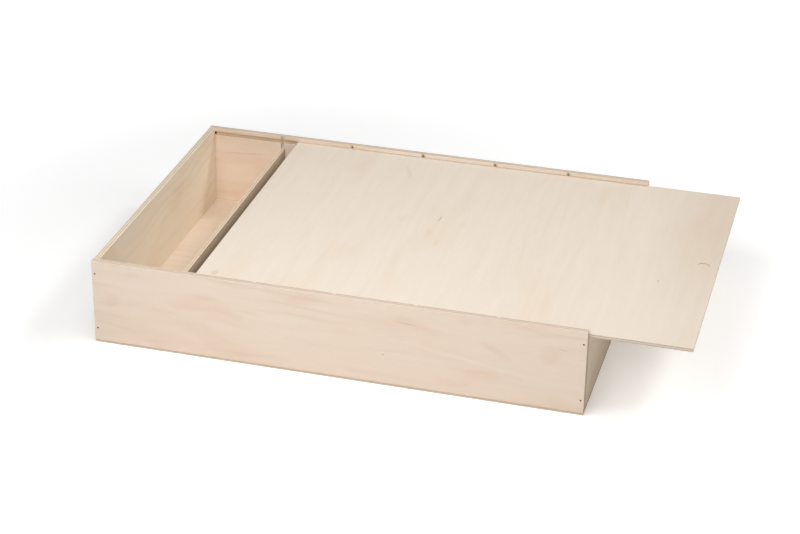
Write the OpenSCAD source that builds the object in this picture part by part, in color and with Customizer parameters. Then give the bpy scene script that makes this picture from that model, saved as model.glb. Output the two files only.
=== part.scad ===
// Flat plywood box for bottles lying side by side, with a sliding lid and lift-out dividers.
// X runs along the length, +X towards the low end where the lid slides out. Y runs from the
// front side to the back side, +Z is up. The origin is the centre of the base's underside.

/* [Box] */
// Outer length
box_len = 540; // [360:1:800]
// Outer depth, front to back
box_dep = 375; // [200:1:600]
// Outer height, base included
box_high = 98; // [70:1:160]
// Thickness of the two long sides
side_t = 7; // [6:0.5:15]
// Thickness of the two ends
end_t = 7; // [5:0.5:15]
// Thickness of the base sheet
base_t = 3; // [2:0.5:8]

/* [Sliding lid] */
// Thickness of the lid sheet
lid_t = 4; // [3:0.5:8]
// Wood left above the lid groove
lip_high = 4.2; // [2:0.1:10]
// Depth of the lid groove into each side
lid_groove = 2.5; // [1.5:0.1:4]
// How far the lid stands drawn out
lid_out = 106.5; // [0:0.5:300]
// Diameter of the finger recess
recess_d = 13.5; // [8:0.5:30]
// Depth of the finger recess
recess_deep = 1; // [0.5:0.1:2]
// From the lid's free end to the middle of the recess
recess_inset = 16; // [16:0.5:60]

/* [Dividers] */
// Number of bays
bays = 6; // [2:1:8]
// Thickness of a divider
divider_t = 4; // [3:0.5:8]
// Depth of a divider groove into each side
divider_groove = 2.5; // [1.5:0.1:4]
// From the lid groove down to the tops of the dividers
divider_drop = 7.3; // [2:0.1:30]
// Extra width of the first and the last bay
end_bay_extra = 1; // [0:0.5:10]

/* [Nails] */
// Diameter of a nail's shank
nail_d = 1.4; // [1:0.1:2]
// Diameter of a nail's head
head_d = 2; // [1.8:0.1:3]
// Thickness of a nail's head
head_t = 0.6; // [0.3:0.1:1]
// How deep the heads are punched below the wood
head_sink = 0.3; // [0.1:0.1:1]
// Length of a nail in the sides
side_nail_len = 25; // [16:1:40]
// Length of a nail in the base
base_nail_len = 16; // [10:1:30]
// From the top edge down to the upper nails
nail_from_top = 15; // [13:0.5:30]
// From the base sheet up to the lower nails
nail_from_base = 14; // [5:0.5:30]
// Nails along each long side of the base
base_nails_long = 4; // [2:1:8]
// Nails along each end of the base
base_nails_short = 2; // [1:1:6]

/* [Fits] */
// Gap above and below the lid in its groove
lid_play = 0.25; // [0.1:0.05:0.5]
// Gap beside the lid at the bottom of each groove
lid_side_play = 0.8; // [0.2:0.1:1.2]
// Gap between the closed lid and the closed end
lid_end_play = 0.3; // [0.1:0.1:2]
// Gap on each face of a divider in its groove
divider_play = 0.3; // [0.1:0.05:0.6]
// Gap at each end of a divider in its groove
divider_end_play = 0.4; // [0.1:0.1:1]
// Gap under a divider
divider_foot_play = 0.1; // [0:0.05:0.5]
// Gap round a nail in its hole
nail_play = 0.05; // [0.02:0.01:0.1]

/* [Hidden] */

// Overshoot that carries a cut clear of the wood
over = 1;
// Facets round a nail and round the recess
nail_fn = 24;
recess_fn = 96;
// Share of a nail's length that its point takes
point_share = 0.1;

inner_dep = box_dep - 2 * side_t;
inner_len = box_len - 2 * end_t;

lid_groove_high = lid_t + 2 * lid_play;
lid_groove_top = box_high - lip_high;
lid_groove_floor = lid_groove_top - lid_groove_high;

lid_len = box_len - end_t - lid_end_play;
lid_dep = inner_dep + 2 * (lid_groove - lid_side_play);
lid_end_x = box_len / 2 + lid_out;

bay_w = (inner_len - (bays - 1) * divider_t - 2 * end_bay_extra) / bays;
divider_top = lid_groove_floor - divider_drop;
divider_dep = inner_dep + 2 * (divider_groove - divider_end_play);

upper_nail_z = box_high - nail_from_top;
lower_nail_z = base_t + nail_from_base;

function divider_name(i) = str("divider_", i);

// Middle of divider i, counted from the closed end
function divider_x(i) =
    -inner_len / 2 + end_bay_extra + i * bay_w + (i - 0.5) * divider_t;

// Middle of nail i of n that share a length evenly, with half a step at each end
function nail_step(i, n, length) = (i + 0.5) * length / n - length / 2;

// A board given by its lowest corner and its size
module board(corner, size) {
    translate(corner)
        cube(size);
}

// One nail with its head's top at the origin, driven along +Z
module nail(length) {
    point = length * point_share;
    cylinder(d = head_d, h = head_t, $fn = nail_fn);
    cylinder(d = nail_d, h = length - point, $fn = nail_fn);
    translate([0, 0, length - point])
        cylinder(d1 = nail_d, d2 = 0, h = point, $fn = nail_fn);
}

// The hole that a nail leaves, from the surface that it was driven through
module nail_hole(length) {
    translate([0, 0, -over])
        cylinder(d = head_d + 2 * nail_play, h = over + head_sink + head_t + nail_play, $fn = nail_fn);
    cylinder(d = nail_d + 2 * nail_play, h = head_sink + length + nail_play, $fn = nail_fn);
}

// Puts a nail or its hole at each place in the front side, driven towards the back
module at_front_nails(depth) {
    for (side = [-1, 1], z = [lower_nail_z, upper_nail_z])
        translate([side * (box_len - end_t) / 2, depth - box_dep / 2, z])
            rotate([-90, 0, 0])
                children();
}

// Puts a nail or its hole at each place in the base, driven upwards
module at_base_nails(depth) {
    for (side = [-1, 1], i = [0 : base_nails_long - 1])
        translate([nail_step(i, base_nails_long, inner_len), side * (box_dep - side_t) / 2, depth])
            children();
    for (side = [-1, 1], i = [0 : base_nails_short - 1])
        translate([side * (box_len - end_t) / 2, nail_step(i, base_nails_short, inner_dep), depth])
            children();
}

module side_nail_holes() {
    at_front_nails(0)
        nail_hole(side_nail_len);
    mirror([0, 1, 0])
        at_front_nails(0)
            nail_hole(side_nail_len);
}

module base_nail_holes() {
    at_base_nails(0)
        nail_hole(base_nail_len);
}

// Groove for the lid in the front side, open at both ends
module lid_groove_cut() {
    board(
        [-box_len / 2 - over, -inner_dep / 2 - lid_groove, lid_groove_floor],
        [box_len + 2 * over, lid_groove + over, lid_groove_high]
    );
}

// Upright grooves for the dividers in the front side, open at top and bottom
module divider_groove_cuts() {
    groove_w = divider_t + 2 * divider_play;
    for (i = [1 : bays - 1])
        board(
            [divider_x(i) - groove_w / 2, -inner_dep / 2 - divider_groove, base_t - over],
            [groove_w, divider_groove + over, box_high - base_t + 2 * over]
        );
}

// A long side, drawn as the front one
module long_side() {
    difference() {
        board(
            [-box_len / 2, -box_dep / 2, base_t],
            [box_len, side_t, box_high - base_t]
        );
        lid_groove_cut();
        divider_groove_cuts();
        side_nail_holes();
        base_nail_holes();
    }
}

module front_side() {
    color("#e6d5c2")
        long_side();
}

module back_side() {
    color("#e2cdb4")
        mirror([0, 1, 0])
            long_side();
}

// Full-height end that the lid stops against
module closed_end() {
    color("#dcc8aa")
        difference() {
            board(
                [-box_len / 2, -inner_dep / 2, base_t],
                [end_t, inner_dep, box_high - base_t]
            );
            side_nail_holes();
            base_nail_holes();
        }
}

// End that stops under the lid, so that the lid slides out over it
module low_end() {
    color("#d8c6ac")
        difference() {
            board(
                [box_len / 2 - end_t, -inner_dep / 2, base_t],
                [end_t, inner_dep, lid_groove_floor - base_t]
            );
            side_nail_holes();
            base_nail_holes();
        }
}

module base() {
    color("#d9b98f")
        difference() {
            board([-box_len / 2, -box_dep / 2, 0], [box_len, box_dep, base_t]);
            base_nail_holes();
        }
}

module lid() {
    color("#ebe0d0")
        difference() {
            board(
                [lid_end_x - lid_len, -lid_dep / 2, lid_groove_floor + lid_play],
                [lid_len, lid_dep, lid_t]
            );
            translate([lid_end_x - recess_inset, 0, lid_groove_floor + lid_play + lid_t - recess_deep])
                cylinder(d = recess_d, h = recess_deep + over, $fn = recess_fn);
        }
}

module divider(i) {
    color("#dccbb2")
        board(
            [divider_x(i) - divider_t / 2, -divider_dep / 2, base_t + divider_foot_play],
            [divider_t, divider_dep, divider_top - base_t - divider_foot_play]
        );
}

module front_nails() {
    color("#6b5a4e")
        at_front_nails(head_sink)
            nail(side_nail_len);
}

module back_nails() {
    color("#6b5a4e")
        mirror([0, 1, 0])
            at_front_nails(head_sink)
                nail(side_nail_len);
}

module base_nails() {
    color("#6b5a4e")
        at_base_nails(head_sink)
            nail(base_nail_len);
}

front_side();
back_side();
closed_end();
low_end();
base();
lid();
for (i = [1 : bays - 1])
    divider(i);
front_nails();
back_nails();
base_nails();
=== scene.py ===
"""Finishes and a studio for a flat plywood wine box with a sliding lid and lift-out dividers.

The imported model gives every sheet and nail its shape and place, in metres: X runs along the box,
+X towards the low end, Y from the front side to the back side, and Z up from the underside.
"""

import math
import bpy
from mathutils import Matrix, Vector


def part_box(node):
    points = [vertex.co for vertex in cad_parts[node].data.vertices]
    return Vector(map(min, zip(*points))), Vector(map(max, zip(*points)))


bl_info = {
    "name": "Wine Box Finish",
    "version": (1, 0, 0),
    "blender": (4, 5, 0),
    "location": "View3D > Sidebar > Wine Box",
    "description": "Plywood and nail finishes and a plain studio for a sliding-lid wine box",
    "category": "Object",
}

from collections import namedtuple

import bmesh
import bpy
from bpy.props import FloatProperty, FloatVectorProperty, PointerProperty
from mathutils import Matrix, Vector

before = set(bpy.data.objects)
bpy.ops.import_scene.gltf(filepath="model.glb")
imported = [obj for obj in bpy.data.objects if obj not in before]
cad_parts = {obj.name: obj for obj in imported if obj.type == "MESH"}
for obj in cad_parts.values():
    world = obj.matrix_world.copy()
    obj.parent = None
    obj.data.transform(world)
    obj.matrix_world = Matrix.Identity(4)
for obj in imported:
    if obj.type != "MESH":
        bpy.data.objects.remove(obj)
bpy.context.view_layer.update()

MM = 0.001

# Sockets of the shader node groups
VALUE = "NodeSocketFloat"
COLOUR = "NodeSocketColor"
VECTOR = "NodeSocketVector"

# How a sheet was cut: the axis that its face grain runs along, the axis across that grain, and
# the axis through the sheet
UPRIGHT_ALONG_X = ("X", "Z", "Y")
UPRIGHT_ALONG_Y = ("Y", "Z", "X")
FLAT_ALONG_X = ("X", "Y", "Z")
FLAT_ALONG_Y = ("Y", "X", "Z")

# A mark in the wood or a patch of painted shade: its middle in the model's X, Y and Z, its length
# with the grain, its width across the grain, how far it leans off the grain, how soft and how
# ragged its outline is, what it is, and how much of it shows
Mark = namedtuple("Mark", "middle length width lean soft ragged stain strength")

# A sheet: its cut, how many veneers it has, an offset that gives it a figure of its own, and its
# marks
Sheet = namedtuple("Sheet", "cut veneers offset marks")

# A soft square lamp: where it stands, in degrees and metres from the middle of the box, and how
# wide it is
Lamp = namedtuple("Lamp", "azimuth elevation distance size")


def display(red, green, blue):
    """A colour in display values from 0 to 255, as the linear values that a shader takes."""
    shares = [value / 255 for value in (red, green, blue)]
    return tuple(s / 12.92 if s <= 0.04045 else ((s + 0.055) / 1.055) ** 2.4 for s in shares)


# Finish of a sheet, unless its own settings say otherwise, and of the nails
VENEER = display(238, 219, 201)
HONEY = display(226, 200, 168)
ROSE = display(229, 200, 176)
END_GRAIN = display(200, 179, 156)
CLOUDS = 0.35
FIGURE = 0.5
STEEL = display(120, 80, 50)
SCALE = display(68, 38, 20)

# Stains in the wood by name; some of them also stand for painted shade on the lid, the low end,
# the grooves and the joints, and one for a painted highlight on the arrises
STAINS_AND_SHADES = {
    "rose": display(224, 188, 160),
    "honey": display(217, 188, 146),
    "brown": display(190, 158, 128),
    "bark": display(120, 92, 72),
    "routed": display(205, 168, 116),
    "scorch": display(86, 54, 26),
    "pale": display(243, 232, 219),
    "glue": display(150, 120, 92),
    "splinter_and_highlight": display(245, 234, 220),
}

# How strongly the glue lines and the lighter splinters along the arrises show, the splinters
# partly a painted edge highlight, and how far in these reach
GLUE_SHOWN = 0.55
SPLINTER_AND_HIGHLIGHT_SHOWN = 0.3
ARRIS_WIDTH = 1.2 * MM


def colour_setting(name, description, default):
    """A colour that the user can change."""
    return FloatVectorProperty(
        name=name, description=description, subtype="COLOR", size=3, min=0, max=1, default=default
    )


def share_setting(name, description, default):
    """A share from 0 to 1 that the user can change."""
    return FloatProperty(
        name=name, description=description, subtype="FACTOR", min=0, max=1, default=default
    )


def power_setting(name, description, default):
    """A lamp's power, in watts, that the user can change."""
    return FloatProperty(name=name, description=description, unit="POWER", min=0, default=default)


def veneer_setting(default):
    return colour_setting("Veneer", "Main colour of the veneers", default)


def end_grain_setting(default):
    return colour_setting("End Grain", "Colour of fibres cut across", default)


def clouds_setting(default):
    return share_setting("Clouds", "How much the honey and rose patches show", default)


def figure_setting(default):
    return share_setting("Figure", "How much the growth rings show", default)


def sawn_setting(default):
    return share_setting("Sawn", "How far sawn long grain takes the colour of end grain", default)


class SheetSettings:
    """What the finish of every sheet lets the user change."""

    veneer: veneer_setting(VENEER)
    honey: colour_setting("Honey", "Colour of the yellower patches", HONEY)
    rose: colour_setting("Rose", "Colour of the pinker patches", ROSE)
    end_grain: end_grain_setting(END_GRAIN)
    clouds: clouds_setting(CLOUDS)
    figure: figure_setting(FIGURE)
    sawn: sawn_setting(0.0)
    arris: FloatProperty(
        name="Arris",
        description="How far the sawn arrises are eased",
        unit="LENGTH",
        min=0,
        max=1 * MM,
        default=0.3 * MM,
    )


class WINEBOX_PG_sides(SheetSettings, bpy.types.PropertyGroup):
    """Finish of the two long sides."""

    end_grain: end_grain_setting(display(198, 180, 161))
    clouds: clouds_setting(0.4)
    sawn: sawn_setting(0.2)


class WINEBOX_PG_ends(SheetSettings, bpy.types.PropertyGroup):
    """Finish of the closed end and the low end."""

    veneer: veneer_setting(display(239, 226, 205))
    end_grain: end_grain_setting(display(208, 190, 168))


class WINEBOX_PG_base(SheetSettings, bpy.types.PropertyGroup):
    """Finish of the base sheet."""

    veneer: veneer_setting(display(232, 214, 194))
    end_grain: end_grain_setting(display(206, 176, 148))


class WINEBOX_PG_lid(SheetSettings, bpy.types.PropertyGroup):
    """Finish of the sliding lid."""

    veneer: veneer_setting(display(232, 219, 203))
    end_grain: end_grain_setting(display(208, 187, 166))
    clouds: clouds_setting(0.18)
    figure: figure_setting(0.18)


class WINEBOX_PG_dividers(SheetSettings, bpy.types.PropertyGroup):
    """Finish of the five dividers."""

    veneer: veneer_setting(display(238, 217, 190))
    end_grain: end_grain_setting(display(212, 190, 165))


class WINEBOX_PG_nails(bpy.types.PropertyGroup):
    """Finish of the nails."""

    steel: colour_setting("Steel", "Colour of the bare wire", STEEL)
    scale: colour_setting("Scale", "Colour of the dark scale on the heads", SCALE)


class WINEBOX_PG_studio(bpy.types.PropertyGroup):
    """Camera, lamps and floor."""

    lens: FloatProperty(
        name="Lens",
        description="Focal length on a sensor 36 mm wide, in millimetres",
        min=20,
        max=300,
        default=94.17,
    )
    ambient: FloatProperty(
        name="Ambient",
        description="Strength of the light from all round",
        min=0,
        max=2,
        default=0.14,
    )
    key: power_setting("Key", "Power of the lamp close above the front", 4.1)
    fill: power_setting("Fill", "Power of the lamp in front", 15)
    side: power_setting("Side", "Power of the lamp beyond the low end", 13)
    rear: power_setting("Rear", "Power of the lamp behind the box", 17)
    under: share_setting("Under", "Glow of the floor right under the box", 0.75)
    floor: colour_setting("Floor", "Colour of the floor", (0.93, 0.93, 0.93))


class WINEBOX_PG_box(bpy.types.PropertyGroup):
    """All settings of the wine box."""

    sides: PointerProperty(type=WINEBOX_PG_sides, name="Sides", description="Long sides")
    ends: PointerProperty(type=WINEBOX_PG_ends, name="Ends", description="Closed and low end")
    base: PointerProperty(type=WINEBOX_PG_base, name="Base", description="Base sheet")
    lid: PointerProperty(type=WINEBOX_PG_lid, name="Lid", description="Sliding lid")
    dividers: PointerProperty(type=WINEBOX_PG_dividers, name="Dividers", description="Dividers")
    nails: PointerProperty(type=WINEBOX_PG_nails, name="Nails", description="Nails")
    studio: PointerProperty(type=WINEBOX_PG_studio, name="Studio", description="Camera and light")


class Graph:
    """Adds shader nodes to a tree and wires them; most calls hand back the new node's output."""

    # how the nodes are laid out in the editor
    COLUMN = 190
    ROW = 170
    ROWS = 8

    def __init__(self, tree):
        self.tree = tree
        self.count = 0

    def node(self, kind, values=None, **settings):
        """A node with these settings, whose inputs take the given values or links."""
        made = self.tree.nodes.new(kind)
        column, row = divmod(self.count, self.ROWS)
        made.location = (self.COLUMN * column, -self.ROW * row)
        self.count += 1
        for key, value in settings.items():
            setattr(made, key, value)
        for key, value in (values or {}).items():
            if isinstance(value, bpy.types.NodeSocket):
                self.link(value, made.inputs[key])
            else:
                made.inputs[key].default_value = value
        return made

    def link(self, output, socket):
        self.tree.links.new(output, socket)

    def math(self, operation, *values):
        node = self.node("ShaderNodeMath", dict(enumerate(values)), operation=operation)
        return node.outputs[0]

    def vector(self, operation, *values):
        node = self.node("ShaderNodeVectorMath", dict(enumerate(values)), operation=operation)
        return node.outputs["Value" if operation == "LENGTH" else "Vector"]

    def split(self, vector):
        """The three parts of a vector."""
        return self.node("ShaderNodeSeparateXYZ", {"Vector": vector}).outputs

    def join(self, x, y, z):
        return self.node("ShaderNodeCombineXYZ", {"X": x, "Y": y, "Z": z}).outputs["Vector"]

    def ramp(self, value, low, high, start=0.0, end=1.0):
        """Value taken smoothly from start at low to end at high."""
        node = self.node(
            "ShaderNodeMapRange",
            {"Value": value, "From Min": low, "From Max": high, "To Min": start, "To Max": end},
            interpolation_type="SMOOTHSTEP",
        )
        return node.outputs["Result"]

    def blend(self, share, first, second):
        """Two numbers mixed."""
        node = self.node("ShaderNodeMix", {0: share, 2: first, 3: second}, data_type="FLOAT")
        return node.outputs[0]

    def tint(self, share, first, second, blend_type="MIX"):
        """Two colours mixed."""
        inputs = {0: share, 6: first, 7: second}
        node = self.node("ShaderNodeMix", inputs, data_type="RGBA", blend_type=blend_type)
        return node.outputs[2]

    def darken(self, colour, light):
        """A colour times a number near 1."""
        return self.tint(1.0, colour, self.join(light, light, light), "MULTIPLY")

    def noise(self, place, stretch, detail=2.0, distortion=0.0):
        """Noise from 0 to 1, with this many features a metre along each axis."""
        scaled = self.vector("MULTIPLY", place, stretch)
        node = self.node(
            "ShaderNodeTexNoise",
            {"Vector": scaled, "Scale": 1.0, "Detail": detail, "Distortion": distortion},
        )
        return node.outputs["Fac"]

    def group(self, name, values):
        """A shader node group placed with these inputs."""
        return self.node("ShaderNodeGroup", values, node_tree=bpy.data.node_groups[name]).outputs


def new_group(name, inputs, outputs):
    """A shader node group with these sockets: its graph, what it is given and what it puts out."""
    tree = bpy.data.node_groups.new(name, "ShaderNodeTree")
    for label, kind, default in inputs:
        socket = tree.interface.new_socket(name=label, in_out="INPUT", socket_type=kind)
        socket.default_value = default
    for label, kind in outputs:
        tree.interface.new_socket(name=label, in_out="OUTPUT", socket_type=kind)
    graph = Graph(tree)
    given = graph.node("NodeGroupInput").outputs
    result = graph.node("NodeGroupOutput").inputs
    return graph, given, result


def opaque(colour):
    """A colour with full alpha."""
    return (*colour, 1.0)


def evenly(count):
    """The same number of features a metre along all three axes."""
    return (count, count, count)


def with_grain(along, across):
    """Features a metre along the grain, and across it both ways."""
    return (along, across, across)


def build_ply_layout():
    """Tells which veneer of a sheet is at a point, how its fibres run there and how they are cut.

    Every second veneer's fibres run across the sheet's own grain.
    """
    waver_size = evenly(55.0)
    waver = 0.12 * MM
    glue_width = 0.16 * MM
    glue_core = 0.3 * glue_width
    veneer_shift = 0.37
    graph, given, result = new_group(
        "Ply Layout",
        [
            ("Place", VECTOR, (0.0, 0.0, 0.0)),
            ("Facing", VECTOR, (0.0, 0.0, 1.0)),
            ("Thickness", VALUE, 4 * MM),
            ("Veneers", VALUE, 3.0),
        ],
        [("Fibre Place", VECTOR), ("End Grain", VALUE), ("Glue Line", VALUE)],
    )
    along, across, depth = graph.split(given["Place"])
    face_along, face_across, face_through = graph.split(given["Facing"])
    veneer_t = graph.math("DIVIDE", given["Thickness"], given["Veneers"])
    drift = graph.math("SUBTRACT", graph.noise(given["Place"], waver_size), 0.5)
    wavy_depth = graph.math("MULTIPLY_ADD", drift, 2 * waver, depth)
    level = graph.math("DIVIDE", wavy_depth, veneer_t)
    last = graph.math("SUBTRACT", given["Veneers"], 1.0)
    index = graph.math("MINIMUM", graph.math("MAXIMUM", graph.math("FLOOR", level), 0.0), last)
    crossed = graph.math("MODULO", index, 2.0)

    run = graph.blend(crossed, along, across)
    side = graph.blend(crossed, across, along)
    shifted = graph.math("MULTIPLY_ADD", index, veneer_shift, depth)
    graph.link(graph.join(run, side, shifted), result["Fibre Place"])

    cut_along = graph.math("ABSOLUTE", face_along)
    cut_across = graph.math("ABSOLUTE", face_across)
    cut = graph.blend(crossed, cut_along, cut_across)
    graph.link(graph.ramp(cut, 0.4, 0.85), result["End Grain"])

    # glue lines, between two veneers and on the edges only
    edge = graph.ramp(graph.math("ABSOLUTE", face_through), 0.5, 0.9, 1.0, 0.0)
    border = graph.math("ROUND", level)
    above_first = graph.math("GREATER_THAN", border, 0.5)
    below_last = graph.math("LESS_THAN", border, graph.math("SUBTRACT", given["Veneers"], 0.5))
    inner = graph.math("MULTIPLY", above_first, below_last)
    levels_off = graph.math("ABSOLUTE", graph.math("SUBTRACT", level, border))
    off_border = graph.math("MULTIPLY", levels_off, veneer_t)
    line = graph.ramp(off_border, glue_core, glue_width, 1.0, 0.0)
    shown = graph.math("MULTIPLY", graph.math("MULTIPLY", line, inner), edge)
    graph.link(shown, result["Glue Line"])


def build_birch_figure():
    """Long-grain birch: soft clouds, faint growth rings, fine fibres and short dark pores."""
    apart = (3.1, 1.7, 5.3)
    ring_pitch = 13 * MM
    ring_wander = 26.0
    streak_contrast = 0.08
    fibre_contrast = 0.08
    ring_shade = -0.10
    pore_shade = -0.05
    smoothest = 0.58
    rougher = 0.14
    graph, given, result = new_group(
        "Birch Figure",
        [
            ("Fibre Place", VECTOR, (0.0, 0.0, 0.0)),
            ("Veneer", COLOUR, opaque(VENEER)),
            ("Honey", COLOUR, opaque(HONEY)),
            ("Rose", COLOUR, opaque(ROSE)),
            ("Clouds", VALUE, CLOUDS),
            ("Figure", VALUE, FIGURE),
        ],
        [("Color", COLOUR), ("Roughness", VALUE), ("Height", VALUE)],
    )
    place = given["Fibre Place"]
    other_place = graph.vector("ADD", place, apart)
    cloud = graph.ramp(graph.noise(place, with_grain(7.0, 22.0), 3.0, 0.4), 0.5, 0.72)
    cloud_shown = graph.math("MULTIPLY", cloud, given["Clouds"])
    tone = graph.tint(cloud_shown, given["Veneer"], given["Honey"])
    cloud = graph.ramp(graph.noise(other_place, with_grain(9.0, 30.0), 3.0, 0.6), 0.52, 0.74)
    cloud_shown = graph.math("MULTIPLY", cloud, given["Clouds"])
    tone = graph.tint(cloud_shown, tone, given["Rose"])

    # growth rings, cut nearly along their own surface, so that they wander and fade in and out
    warp = graph.noise(place, with_grain(4.0, 16.0), 2.0, 0.5)
    wander = graph.math("MULTIPLY", warp, ring_wander)
    across = graph.split(place)[1]
    turn = graph.math("MULTIPLY_ADD", across, 2 * math.pi / ring_pitch, wander)
    ring = graph.ramp(graph.math("SINE", turn), 0.35, 1.0)
    ring_area = graph.ramp(graph.noise(other_place, with_grain(5.0, 18.0), 1.0), 0.45, 0.7)
    ring_shown = graph.math("MULTIPLY", graph.math("MULTIPLY", ring, ring_area), given["Figure"])
    streak = graph.noise(place, with_grain(11.0, 150.0), 4.0, 0.3)
    fibre = graph.noise(place, with_grain(70.0, 1500.0), 3.0)
    pore = graph.ramp(graph.noise(other_place, with_grain(210.0, 2900.0), 1.0), 0.66, 0.74)

    light = graph.math("MULTIPLY_ADD", graph.math("SUBTRACT", streak, 0.5), streak_contrast, 1.0)
    light = graph.math("MULTIPLY_ADD", graph.math("SUBTRACT", fibre, 0.5), fibre_contrast, light)
    light = graph.math("MULTIPLY_ADD", ring_shown, ring_shade, light)
    light = graph.math("MULTIPLY_ADD", pore, pore_shade, light)
    graph.link(graph.darken(tone, light), result["Color"])
    graph.link(graph.math("MULTIPLY_ADD", fibre, rougher, smoothest), result["Roughness"])

    height = graph.math("MULTIPLY_ADD", fibre, 0.5, graph.math("MULTIPLY", streak, 0.5))
    height = graph.math("MULTIPLY_ADD", pore, -0.8, height)
    height = graph.math("MULTIPLY_ADD", ring_shown, 0.2, height)
    graph.link(height, result["Height"])


def build_end_grain():
    """Fibres cut across: a dark surface, speckled with fibre ends and blotched by the saw."""
    blotch_size = (60.0, 60.0, 240.0)
    speckle_contrast = 0.42
    blotch_contrast = 0.36
    graph, given, result = new_group(
        "End Grain",
        [
            ("Place", VECTOR, (0.0, 0.0, 0.0)),
            ("Color", COLOUR, opaque(END_GRAIN)),
        ],
        [("Color", COLOUR), ("Height", VALUE)],
    )
    speckle = graph.noise(given["Place"], evenly(1300.0), 2.0)
    blotch = graph.noise(given["Place"], blotch_size, 3.0)
    light = graph.math("MULTIPLY_ADD", graph.math("SUBTRACT", speckle, 0.5), speckle_contrast, 1.0)
    light = graph.math("MULTIPLY_ADD", graph.math("SUBTRACT", blotch, 0.5), blotch_contrast, light)
    graph.link(graph.darken(given["Color"], light), result["Color"])
    graph.link(speckle, result["Height"])


def build_sawn_arris():
    """Finds the small splinters that a saw leaves along the arrises of a sheet, whose lighter
    colour is partly a painted edge highlight.

    Place and Half Size are measured from the middle of the sheet's box.
    """
    graph, given, result = new_group(
        "Sawn Arris",
        [
            ("Place", VECTOR, (0.0, 0.0, 0.0)),
            ("Half Size", VECTOR, (0.1, 0.1, 0.002)),
            ("Width", VALUE, ARRIS_WIDTH),
        ],
        [("Splinter", VALUE)],
    )
    inset = graph.vector("SUBTRACT", given["Half Size"], graph.vector("ABSOLUTE", given["Place"]))
    a, b, c = graph.split(inset)
    # the middle one of the three insets is how far the nearest arris is
    low = graph.math("MINIMUM", a, b)
    high = graph.math("MAXIMUM", a, b)
    to_arris = graph.math("MAXIMUM", low, graph.math("MINIMUM", high, c))
    arris = graph.ramp(graph.math("DIVIDE", to_arris, given["Width"]), 0.0, 1.0, 1.0, 0.0)
    torn = graph.ramp(graph.noise(given["Place"], evenly(260.0), 3.0), 0.52, 0.66)
    graph.link(graph.math("MULTIPLY", arris, torn), result["Splinter"])


def build_wood_and_shade_mark():
    """One mark in the wood, such as a cloud or a fleck, or a patch of painted shade: 1 in its
    middle and 0 outside.
    """
    graph, given, result = new_group(
        "Wood Mark",
        [
            ("Place", VECTOR, (0.0, 0.0, 0.0)),
            ("Middle", VECTOR, (0.0, 0.0, 0.0)),
            ("Half Size", VECTOR, (0.01, 0.002, 0.001)),
            ("Lean", VALUE, 0.0),
            ("Soft", VALUE, 0.5),
            ("Ragged", VALUE, 0.0),
        ],
        [("Mask", VALUE)],
    )
    off = graph.vector("SUBTRACT", given["Place"], given["Middle"])
    along, across, depth = graph.split(off)
    leant = graph.math("SUBTRACT", across, graph.math("MULTIPLY", along, given["Lean"]))
    share = graph.vector("DIVIDE", graph.join(along, leant, depth), given["Half Size"])
    fray = graph.math("SUBTRACT", graph.noise(given["Place"], with_grain(30.0, 110.0), 3.0), 0.5)
    radius = graph.math("MULTIPLY_ADD", fray, given["Ragged"], graph.vector("LENGTH", share))
    start = graph.math("SUBTRACT", 1.0, given["Soft"])
    graph.link(graph.ramp(radius, start, 1.0, 1.0, 0.0), result["Mask"])


def build_steel_scale():
    """Dark scale and bare rubbed spots on drawn steel wire."""
    smoothest = 0.42
    rougher = 0.25
    graph, given, result = new_group(
        "Steel Scale",
        [
            ("Place", VECTOR, (0.0, 0.0, 0.0)),
            ("Steel", COLOUR, opaque(STEEL)),
            ("Scale", COLOUR, opaque(SCALE)),
        ],
        [("Color", COLOUR), ("Roughness", VALUE), ("Height", VALUE)],
    )
    patch = graph.ramp(graph.noise(given["Place"], evenly(1500.0), 3.0), 0.35, 0.65)
    graph.link(graph.tint(patch, given["Steel"], given["Scale"]), result["Color"])
    graph.link(graph.math("MULTIPLY_ADD", patch, rougher, smoothest), result["Roughness"])
    graph.link(patch, result["Height"])


def new_material(name):
    """An empty material's graph and its shader."""
    material = bpy.data.materials.new(name)
    material.use_nodes = True
    material.node_tree.nodes.clear()
    graph = Graph(material.node_tree)
    shader = graph.node("ShaderNodeBsdfPrincipled")
    output = graph.node("ShaderNodeOutputMaterial")
    graph.link(shader.outputs["BSDF"], output.inputs["Surface"])
    return material, graph, shader


def in_cut(values, cut):
    """Values for X, Y and Z, put in the order of a sheet's cut."""
    return [values["XYZ".index(axis)] for axis in cut]


def stained_and_shaded(graph, colour, place, sheet, depth):
    """A sheet's colour with its marks, some of them painted shade, each of which reaches this deep
    into the wood.
    """
    for blemish_and_shade in sheet.marks:
        mask = graph.group(
            "Wood Mark",
            {
                "Place": place,
                "Middle": in_cut(blemish_and_shade.middle, sheet.cut),
                "Half Size": (blemish_and_shade.length / 2, blemish_and_shade.width / 2, depth),
                "Lean": blemish_and_shade.lean,
                "Soft": blemish_and_shade.soft,
                "Ragged": blemish_and_shade.ragged,
            },
        )["Mask"]
        share = graph.math("MULTIPLY", mask, blemish_and_shade.strength)
        colour = graph.tint(share, colour, opaque(STAINS_AND_SHADES[blemish_and_shade.stain]))
    return colour


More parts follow.
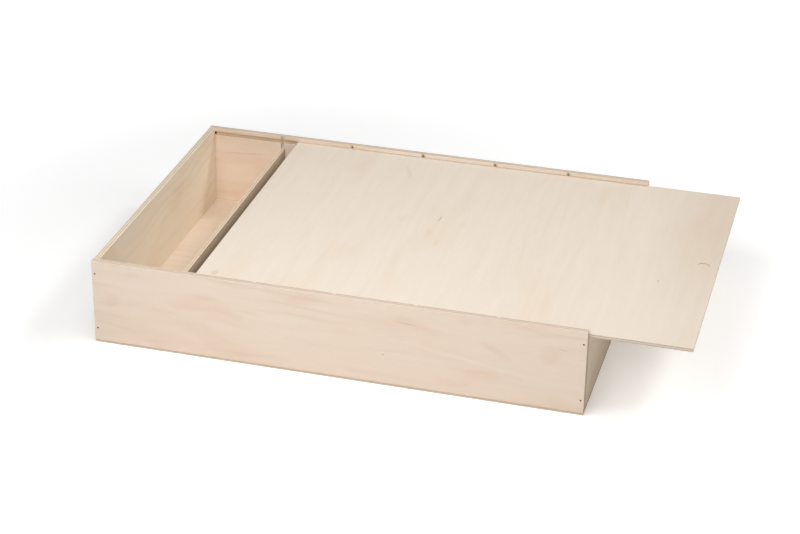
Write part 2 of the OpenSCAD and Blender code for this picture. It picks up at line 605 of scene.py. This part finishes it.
def plywood(node, sheet, settings):
    """The finish of one sheet, laid out from its own box."""
    gloss = 0.25
    glue_dip = -0.6
    grain_strength = 0.35
    grain_relief = 0.15 * MM
    low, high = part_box(node)
    corner = in_cut(low, sheet.cut)
    size = in_cut(high - low, sheet.cut)
    middle = in_cut((low + high) / 2, sheet.cut)
    material, graph, shader = new_material(node + "_plywood")
    coordinates = graph.node("ShaderNodeTexCoord").outputs
    place = graph.join(*in_cut(graph.split(coordinates["Object"]), sheet.cut))
    facing = graph.join(*in_cut(graph.split(coordinates["Normal"]), sheet.cut))
    from_face = graph.vector("SUBTRACT", place, (0.0, 0.0, corner[2]))
    layout = graph.group(
        "Ply Layout",
        {"Place": from_face, "Facing": facing, "Thickness": size[2], "Veneers": sheet.veneers},
    )
    fibre_place = graph.vector("ADD", layout["Fibre Place"], sheet.offset)
    birch = graph.group(
        "Birch Figure",
        {
            "Fibre Place": fibre_place,
            "Veneer": opaque(settings.veneer),
            "Honey": opaque(settings.honey),
            "Rose": opaque(settings.rose),
            "Clouds": settings.clouds,
            "Figure": settings.figure,
        },
    )
    colour = stained_and_shaded(graph, birch["Color"], place, sheet, 0.5 * size[2] / sheet.veneers)

    # fibres cut across, and long grain on sawn edges
    end = graph.group("End Grain", {"Place": fibre_place, "Color": opaque(settings.end_grain)})
    sawn = graph.math("SUBTRACT", 1.0, graph.math("ABSOLUTE", graph.split(facing)[2]))
    sawn_share = graph.math("MULTIPLY", sawn, settings.sawn)
    cut_share = graph.math("MAXIMUM", layout["End Grain"], sawn_share)
    colour = graph.tint(cut_share, colour, end["Color"])

    glue = graph.math("MULTIPLY", layout["Glue Line"], GLUE_SHOWN)
    colour = graph.tint(glue, colour, opaque(STAINS_AND_SHADES["glue"]))
    arris = graph.group(
        "Sawn Arris",
        {
            "Place": graph.vector("SUBTRACT", place, middle),
            "Half Size": [length / 2 for length in size],
            "Width": ARRIS_WIDTH,
        },
    )
    # lighter torn splinters along the arrises, partly a painted edge highlight
    splinter_and_highlight = graph.math("MULTIPLY", arris["Splinter"], SPLINTER_AND_HIGHLIGHT_SHOWN)
    colour = graph.tint(splinter_and_highlight, colour, opaque(STAINS_AND_SHADES["splinter_and_highlight"]))
    graph.link(colour, shader.inputs["Base Color"])
    graph.link(birch["Roughness"], shader.inputs["Roughness"])
    shader.inputs["Specular IOR Level"].default_value = gloss

    height = graph.blend(layout["End Grain"], birch["Height"], end["Height"])
    height = graph.math("MULTIPLY_ADD", layout["Glue Line"], glue_dip, height)
    bump = graph.node(
        "ShaderNodeBump",
        {"Height": height, "Strength": grain_strength, "Distance": grain_relief},
    )
    graph.link(bump.outputs["Normal"], shader.inputs["Normal"])
    return material


DIVIDERS = sorted(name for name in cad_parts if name.startswith("divider_"))
NAILS = sorted(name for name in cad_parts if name.endswith("_nails"))

# Faces and grooves that the marks are on; the finger recess lies in from the lid's free end and
# below its upper face
RECESS_INSET = 16 * MM
RECESS_DEPTH = 1 * MM
GROOVE_DEPTH = 2.5 * MM
FRONT_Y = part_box("front_side")[0].y
BACK_INNER_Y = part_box("closed_end")[1].y
END_INNER_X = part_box("closed_end")[1].x
LOW_END_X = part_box("low_end")[1].x
LID_LOW, LID_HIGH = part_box("lid")
LID_MIDDLE_Z = (LID_LOW.z + LID_HIGH.z) / 2
RECESS_FLOOR = (LID_HIGH.x - RECESS_INSET, 0.0, LID_HIGH.z - RECESS_DEPTH)

# Where painted shade darkens the upright grooves, from the middle of each divider's top, and how
# strongly that shows; the first groove gets lighter painted shade than the others
SLOT_SHADE_SHIFT = 0.8 * MM
SLOT_SHADE_RISE = 7.5 * MM
GROOVE_SHADE_SHOWN = 0.85
FIRST_SLOT_SHADE = 0.3


def on_front(x, z):
    """A place on the front side's outer face, given in millimetres."""
    return (x * MM, FRONT_Y, z * MM)


def on_back(x, z):
    """A place on the back side's inner face, given in millimetres."""
    return (x * MM, BACK_INNER_Y, z * MM)


def on_lid(x, y):
    """A place on the lid's upper face, given in millimetres."""
    return (x * MM, y * MM, LID_HIGH.z)


def on_low_end(y, z):
    """A place on the low end's outer face, given in millimetres."""
    return (LOW_END_X, y * MM, z * MM)


def mark(middle, length, width, stain, strength, lean=0.0, soft=0.8, ragged=1.2):
    """A mark at this place, its length and width given in millimetres."""
    return Mark(middle, length * MM, width * MM, lean, soft, ragged, stain, strength)


def groove_marks(side):
    """Marks on the floors of the grooves in the front (-1) or the back (1) side: routed wood
    darkened by painted shade along the lid groove, and painted shade at its mouth and in the
    upright grooves.
    """
    floor_y = side * (BACK_INNER_Y + GROOVE_DEPTH)
    along = (0.0, floor_y, LID_MIDDLE_Z)
    mouth = (END_INNER_X, floor_y, LID_MIDDLE_Z)
    marks = [
        # the lid groove's floor: the colour of routed wood, with painted shade under the lip
        mark(along, 1000, 7, "routed", 0.5, soft=0.4, ragged=0.2),
        # painted shade in the groove's mouth beside the closed end
        mark(mouth, 4, 9, "scorch", GROOVE_SHADE_SHOWN, soft=0.5, ragged=0.1),
    ]
    # painted shade in the upright groove above each divider, lighter in the first
    for divider in DIVIDERS:
        low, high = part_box(divider)
        above = ((low.x + high.x) / 2 - SLOT_SHADE_SHIFT, floor_y, high.z + SLOT_SHADE_RISE)
        strength = FIRST_SLOT_SHADE if divider == DIVIDERS[0] else GROOVE_SHADE_SHOWN
        marks.append(mark(above, 3.4, 18, "scorch", strength, soft=0.5, ragged=0.15))
    return marks


FRONT_MARKS = [
    mark(on_front(-29, 89), 70, 20, "rose", 0.25),
    mark(on_front(79, 81), 46, 14, "honey", 0.25),
    mark(on_front(82, 77), 34, 2.2, "brown", 0.32, lean=-0.06, soft=0.9, ragged=0.8),
    mark(on_front(-140, 73), 46, 9, "honey", 0.25, lean=-0.12),
    mark(on_front(-92, 63), 44, 8, "honey", 0.2, lean=-0.1),
    mark(on_front(-250, 52), 26, 26, "rose", 0.23),
    mark(on_front(-223, 88), 30, 12, "honey", 0.2),
    mark(on_front(176, 60), 40, 12, "rose", 0.23, lean=-0.5),
    mark(on_front(232, 62), 28, 30, "honey", 0.2),
    mark(on_front(142, 89), 26, 14, "rose", 0.17),
    mark(on_front(-205, 10), 50, 10, "honey", 0.17),
    mark(on_front(40, 12), 90, 9, "rose", 0.12),
    mark(on_front(246, 73), 16, 1.6, "brown", 0.4, lean=-0.1, soft=0.8, ragged=0.9),
    mark(on_front(150, 44), 230, 7, "pale", 0.36, lean=-0.15, soft=0.95, ragged=0.8),
    mark(on_front(-60, 60), 120, 14, "pale", 0.24),
    mark(on_front(55, 36.5), 1.9, 1.4, "bark", 0.9, soft=0.5, ragged=0.2),
]
LID_MARKS = [
    mark(on_lid(-63, 138), 60, 40, "rose", 0.17),
    mark(on_lid(-58, 104), 46, 18, "rose", 0.15, lean=0.1),
    mark(on_lid(-6, 137), 44, 9, "brown", 0.16, lean=-0.4),
    mark(on_lid(56, -8), 26, 14, "honey", 0.17),
    mark(on_lid(71, -31), 22, 12, "honey", 0.23),
    mark(on_lid(88, 18), 24, 12, "honey", 0.17),
    mark(on_lid(20, 18), 22, 16, "honey", 0.12),
    mark(on_lid(222, 138), 60, 30, "honey", 0.1),
    mark(on_lid(-138, -166), 16, 12, "brown", 0.32),
    # a wide soft brown wash that darkens the lid towards its far end: painted shade
    mark(on_lid(376, 120), 700, 190, "brown", 0.3, soft=1.0, ragged=0.2),
    mark(on_lid(60, 27.5), 18, 0.9, "bark", 0.75, lean=0.09, soft=0.4, ragged=0.2),
    mark(on_lid(319, -48.5), 8, 0.9, "bark", 0.6, lean=0.06, soft=0.4, ragged=0.2),
    # a brown patch over the finger recess: painted shade in the recess, with the cutter's burnish
    mark(RECESS_FLOOR, 24, 24, "brown", 0.24, soft=0.3, ragged=0.1),
]
BACK_MARKS = [
    mark(on_back(-222, 69.3), 96, 2.0, "brown", 0.36, lean=0.075, soft=0.9, ragged=0.8),
    mark(on_back(-200, 48), 60, 24, "rose", 0.15),
    mark(on_back(90, 96), 460, 6, "pale", 0.35, soft=0.5, ragged=0.3),
]
LOW_END_MARKS = [
    # a brown wash over the whole outer face: a browner board, and painted shade under the lid's
    # overhang
    mark(on_low_end(0, 46), 900, 300, "brown", 0.22, soft=0.3, ragged=0.3),
    # dark lines along both joints with the sides: painted shade in the joints
    mark(on_low_end(-180.5, 46), 8, 150, "bark", 0.8, soft=0.6, ragged=0.3),
    mark(on_low_end(180.5, 46), 8, 150, "bark", 0.8, soft=0.6, ragged=0.3),
]

SHEETS = {
    "front_side": Sheet(UPRIGHT_ALONG_X, 5, (0.0, 0.0, 0.0), FRONT_MARKS + groove_marks(-1)),
    "back_side": Sheet(UPRIGHT_ALONG_X, 5, (3.3, 1.1, 0.7), BACK_MARKS + groove_marks(1)),
    "closed_end": Sheet(UPRIGHT_ALONG_Y, 5, (5.2, 2.6, 1.9), []),
    "low_end": Sheet(UPRIGHT_ALONG_Y, 5, (7.9, 4.4, 2.3), LOW_END_MARKS),
    "base": Sheet(FLAT_ALONG_X, 3, (9.1, 6.2, 3.7), []),
    "lid": Sheet(FLAT_ALONG_Y, 3, (2.4, 8.6, 4.1), LID_MARKS),
}

# How far each divider's figure lies from the next one's
DIVIDER_OFFSET = 1.83
for count, divider in enumerate(DIVIDERS, start=1):
    SHEETS[divider] = Sheet(UPRIGHT_ALONG_Y, 3, (DIVIDER_OFFSET * count,) * 3, [])


# Corners closer than this are one corner
SAME_SPOT = 0.001 * MM


def spot(point):
    """A point to the nearest 0.001 mm, so that the same corner of two faces compares equal."""
    return tuple(round(value, 6) for value in point)


def long_arrises(mesh):
    """The long sharp edges of a mesh, each as the spots of its two ends."""
    shortest = 3 * MM
    sharp = math.radians(30)
    joined = bmesh.new()
    joined.from_mesh(mesh)
    bmesh.ops.remove_doubles(joined, verts=joined.verts, dist=SAME_SPOT)
    arrises = set()
    for edge in joined.edges:
        if len(edge.link_faces) != 2 or edge.calc_length() <= shortest:
            continue
        if edge.calc_face_angle() > sharp:
            arrises.add(frozenset(spot(vertex.co) for vertex in edge.verts))
    joined.free()
    return arrises


def ease_arrises(node, width):
    """Rounds a sheet's long sharp edges with modifiers, and leaves its small holes sharp."""
    flat = math.radians(1)
    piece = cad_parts[node]
    mesh = piece.data
    arrises = long_arrises(mesh)
    weights = mesh.attributes.new("bevel_weight_edge", "FLOAT", "EDGE")
    spots = [spot(vertex.co) for vertex in mesh.vertices]
    for edge in mesh.edges:
        if frozenset(spots[i] for i in edge.vertices) in arrises:
            weights.data[edge.index].value = 1.0
    weld = piece.modifiers.new("Join Faces", "WELD")
    weld.merge_threshold = SAME_SPOT
    whole = piece.modifiers.new("Whole Faces", "DECIMATE")
    whole.decimate_type = "DISSOLVE"
    whole.angle_limit = flat
    bevel = piece.modifiers.new("Eased Arrises", "BEVEL")
    bevel.limit_method = "WEIGHT"
    bevel.width = width
    bevel.segments = 2
    bevel.use_clamp_overlap = False
    bevel.loop_slide = False
    bevel.harden_normals = True


def dress(node, material):
    """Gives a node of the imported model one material."""
    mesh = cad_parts[node].data
    mesh.materials.clear()
    mesh.materials.append(material)


def finish_sheets(nodes, settings):
    """Finishes sheets that share their settings."""
    for node in nodes:
        dress(node, plywood(node, SHEETS[node], settings))
        ease_arrises(node, settings.arris)


class WINEBOX_OT_grain(bpy.types.Operator):
    """Build the shader node groups that the finishes share"""

    bl_idname = "winebox.grain"
    bl_label = "Wood and Steel Effects"

    def execute(self, context):
        build_ply_layout()
        build_birch_figure()
        build_end_grain()
        build_sawn_arris()
        build_wood_and_shade_mark()
        build_steel_scale()
        return {"FINISHED"}


class WINEBOX_OT_sides(bpy.types.Operator):
    """Finish the front side and the back side"""

    bl_idname = "winebox.sides"
    bl_label = "Long Sides"

    def execute(self, context):
        finish_sheets(["front_side", "back_side"], context.scene.wine_box.sides)
        return {"FINISHED"}


class WINEBOX_OT_ends(bpy.types.Operator):
    """Finish the closed end and the low end"""

    bl_idname = "winebox.ends"
    bl_label = "Ends"

    def execute(self, context):
        finish_sheets(["closed_end", "low_end"], context.scene.wine_box.ends)
        return {"FINISHED"}


class WINEBOX_OT_base(bpy.types.Operator):
    """Finish the base sheet"""

    bl_idname = "winebox.base"
    bl_label = "Base"

    def execute(self, context):
        finish_sheets(["base"], context.scene.wine_box.base)
        return {"FINISHED"}


class WINEBOX_OT_lid(bpy.types.Operator):
    """Finish the sliding lid"""

    bl_idname = "winebox.lid"
    bl_label = "Lid"

    def execute(self, context):
        finish_sheets(["lid"], context.scene.wine_box.lid)
        return {"FINISHED"}


class WINEBOX_OT_dividers(bpy.types.Operator):
    """Finish the dividers"""

    bl_idname = "winebox.dividers"
    bl_label = "Dividers"

    def execute(self, context):
        finish_sheets(DIVIDERS, context.scene.wine_box.dividers)
        return {"FINISHED"}


class WINEBOX_OT_nails(bpy.types.Operator):
    """Finish the nails"""

    bl_idname = "winebox.nails"
    bl_label = "Nails"

    def execute(self, context):
        scale_relief = 0.05 * MM
        settings = context.scene.wine_box.nails
        material, graph, shader = new_material("nail_steel")
        place = graph.node("ShaderNodeTexCoord").outputs["Object"]
        steel = graph.group(
            "Steel Scale",
            {"Place": place, "Steel": opaque(settings.steel), "Scale": opaque(settings.scale)},
        )
        graph.link(steel["Color"], shader.inputs["Base Color"])
        graph.link(steel["Roughness"], shader.inputs["Roughness"])
        shader.inputs["Metallic"].default_value = 1.0
        bump = graph.node("ShaderNodeBump", {"Height": steel["Height"], "Distance": scale_relief})
        graph.link(bump.outputs["Normal"], shader.inputs["Normal"])
        for node in NAILS:
            dress(node, material)
        return {"FINISHED"}


# The soft lamps by name, and the point that they face
LAMPS = {
    "Key": Lamp(azimuth=-15, elevation=60, distance=0.9, size=0.6),
    "Fill": Lamp(azimuth=0, elevation=30, distance=2.4, size=1.2),
    "Side": Lamp(azimuth=90, elevation=40, distance=2.4, size=1.2),
    "Rear": Lamp(azimuth=135, elevation=45, distance=2.4, size=0.5),
}
BOX_MIDDLE = Vector((0.0, 0.0, 0.05))

WHITE = (1.0, 1.0, 1.0, 1.0)
BLACK = (0.0, 0.0, 0.0, 1.0)


def towards(azimuth, elevation):
    """A direction of length 1; azimuth 0 is in front of the box and 90 beyond its low end."""
    a, e = math.radians(azimuth), math.radians(elevation)
    return Vector((math.sin(a) * math.cos(e), -math.cos(a) * math.cos(e), math.sin(e)))


def soft_lamp(name, lamp, power):
    """A square soft lamp that faces the middle of the box."""
    data = bpy.data.lights.new(name, "AREA")
    data.size = lamp.size
    data.energy = power
    made = bpy.data.objects.new(name, data)
    made.location = BOX_MIDDLE + lamp.distance * towards(lamp.azimuth, lamp.elevation)
    made.rotation_mode = "QUATERNION"
    made.rotation_quaternion = (made.location - BOX_MIDDLE).to_track_quat("Z", "Y")
    made.visible_camera = False
    bpy.context.scene.collection.objects.link(made)


def place_camera(lens):
    """The camera, in front of the box, a little towards its low end and above it."""
    location = Vector((0.56657, -2.01359, 1.13595))
    azimuth, elevation, roll = 15.14, 27.70, 0.764
    data = bpy.data.cameras.new("Camera")
    data.sensor_width = 36
    data.lens = lens
    camera = bpy.data.objects.new("Camera", data)
    level = towards(azimuth, elevation).to_track_quat("Z", "Y").to_matrix()
    turned = level @ Matrix.Rotation(math.radians(roll), 3, "Z")
    camera.matrix_world = Matrix.Translation(location) @ turned.to_4x4()
    bpy.context.scene.collection.objects.link(camera)
    bpy.context.scene.camera = camera


def floor_finish(colour, under):
    """A pale floor that the camera sees fade to white, and through from below.

    Right under the box it glows, towards the underside only, so that the base can be seen.
    """
    fade_start, fade_end = 0.4, 1.1
    near_glow = 0.2
    material, graph, shader = new_material("Floor")
    rays = graph.node("ShaderNodeLightPath").outputs
    shader.inputs["Roughness"].default_value = 0.9
    shader.inputs["Specular IOR Level"].default_value = 0.1
    shader.inputs["Emission Color"].default_value = WHITE
    place = graph.node("ShaderNodeTexCoord").outputs["Object"]
    x, y, _ = graph.split(graph.vector("ABSOLUTE", place))
    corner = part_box("base")[1]
    under_x = graph.math("LESS_THAN", x, corner.x)
    under_y = graph.math("LESS_THAN", y, corner.y)
    covered = graph.math("MULTIPLY", under_x, under_y)
    seen = graph.tint(rays["Is Camera Ray"], opaque(colour), WHITE)
    seen = graph.tint(covered, seen, BLACK)
    graph.link(seen, shader.inputs["Base Color"])

    fade = graph.ramp(graph.vector("LENGTH", place), fade_start, fade_end, near_glow, 1.0)
    to_camera = graph.math("MULTIPLY", fade, rays["Is Camera Ray"])
    glow = graph.math("MULTIPLY", covered, under)
    to_base = graph.math("MULTIPLY", glow, rays["Is Diffuse Ray"])
    graph.link(graph.math("ADD", to_camera, to_base), shader.inputs["Emission Strength"])
    material.cycles.emission_sampling = "NONE"

    backfacing = graph.node("ShaderNodeNewGeometry").outputs["Backfacing"]
    from_below = graph.math("MULTIPLY", backfacing, rays["Is Camera Ray"])
    clear = graph.node("ShaderNodeBsdfTransparent")
    mixed = graph.node(
        "ShaderNodeMixShader",
        {0: from_below, 1: shader.outputs["BSDF"], 2: clear.outputs["BSDF"]},
    )
    output = next(node for node in graph.tree.nodes if node.type == "OUTPUT_MATERIAL")
    graph.link(mixed.outputs["Shader"], output.inputs["Surface"])
    return material


def lay_floor(colour, under):
    """A wide floor just below the box, which keeps its shadow."""
    half = 9.0
    drop = 0.2 * MM
    built = bmesh.new()
    bmesh.ops.create_grid(built, x_segments=1, y_segments=1, size=half)
    bmesh.ops.translate(built, verts=built.verts, vec=(0.0, 0.0, -drop))
    mesh = bpy.data.meshes.new("Floor")
    built.to_mesh(mesh)
    built.free()
    mesh.materials.append(floor_finish(colour, under))
    floor = bpy.data.objects.new("Floor", mesh)
    bpy.context.scene.collection.objects.link(floor)


def light_the_air(ambient):
    """Even light from all round; the camera, gloss and glass see it white."""
    world = bpy.data.worlds.new("Studio")
    world.use_nodes = True
    world.node_tree.nodes.clear()
    graph = Graph(world.node_tree)
    rays = graph.node("ShaderNodeLightPath").outputs
    seen = graph.math("MAXIMUM", rays["Is Camera Ray"], rays["Is Glossy Ray"])
    seen = graph.math("MAXIMUM", seen, rays["Is Transmission Ray"])
    strength = graph.blend(seen, ambient, 1.0)
    air = graph.node("ShaderNodeBackground", {"Color": WHITE, "Strength": strength})
    output = graph.node("ShaderNodeOutputWorld")
    graph.link(air.outputs["Background"], output.inputs["Surface"])
    bpy.context.scene.world = world


class WINEBOX_OT_studio(bpy.types.Operator):
    """Set up the camera, the lamps and the floor"""

    bl_idname = "winebox.studio"
    bl_label = "Studio"

    def execute(self, context):
        settings = context.scene.wine_box.studio
        context.scene.view_settings.view_transform = "Standard"
        place_camera(settings.lens)
        lay_floor(settings.floor, settings.under)
        light_the_air(settings.ambient)
        for name, lamp in LAMPS.items():
            soft_lamp(name, lamp, getattr(settings, name.lower()))
        return {"FINISHED"}


class WINEBOX_PT_sidebar(bpy.types.Panel):
    """Steps that finish the wine box, in the order in which they run"""

    bl_idname = "WINEBOX_PT_sidebar"
    bl_label = "Wine Box"
    bl_space_type = "VIEW_3D"
    bl_region_type = "UI"
    bl_category = "Wine Box"

    def draw(self, context):
        settings = context.scene.wine_box
        for step, group in STEPS:
            box = self.layout.box()
            box.operator("winebox." + step)
            if group:
                owner = getattr(settings, group)
                for name in owner.bl_rna.properties.keys():
                    if name not in ("rna_type", "name"):
                        box.prop(owner, name)


# The operators in the order in which they run, each with its group of settings
STEPS = [
    ("grain", None),
    ("sides", "sides"),
    ("ends", "ends"),
    ("base", "base"),
    ("lid", "lid"),
    ("dividers", "dividers"),
    ("nails", "nails"),
    ("studio", "studio"),
]

CLASSES = (
    WINEBOX_PG_sides,
    WINEBOX_PG_ends,
    WINEBOX_PG_base,
    WINEBOX_PG_lid,
    WINEBOX_PG_dividers,
    WINEBOX_PG_nails,
    WINEBOX_PG_studio,
    WINEBOX_PG_box,
    WINEBOX_OT_grain,
    WINEBOX_OT_sides,
    WINEBOX_OT_ends,
    WINEBOX_OT_base,
    WINEBOX_OT_lid,
    WINEBOX_OT_dividers,
    WINEBOX_OT_nails,
    WINEBOX_OT_studio,
    WINEBOX_PT_sidebar,
)


def register():
    for cls in CLASSES:
        bpy.utils.register_class(cls)
    bpy.types.Scene.wine_box = PointerProperty(
        type=WINEBOX_PG_box, name="Wine Box", description="Settings of the wine box"
    )


def unregister():
    del bpy.types.Scene.wine_box
    for cls in reversed(CLASSES):
        bpy.utils.unregister_class(cls)


def main():
    register()
    for step, _ in STEPS:
        getattr(bpy.ops.winebox, step)()


if __name__ == "__main__":
    main()
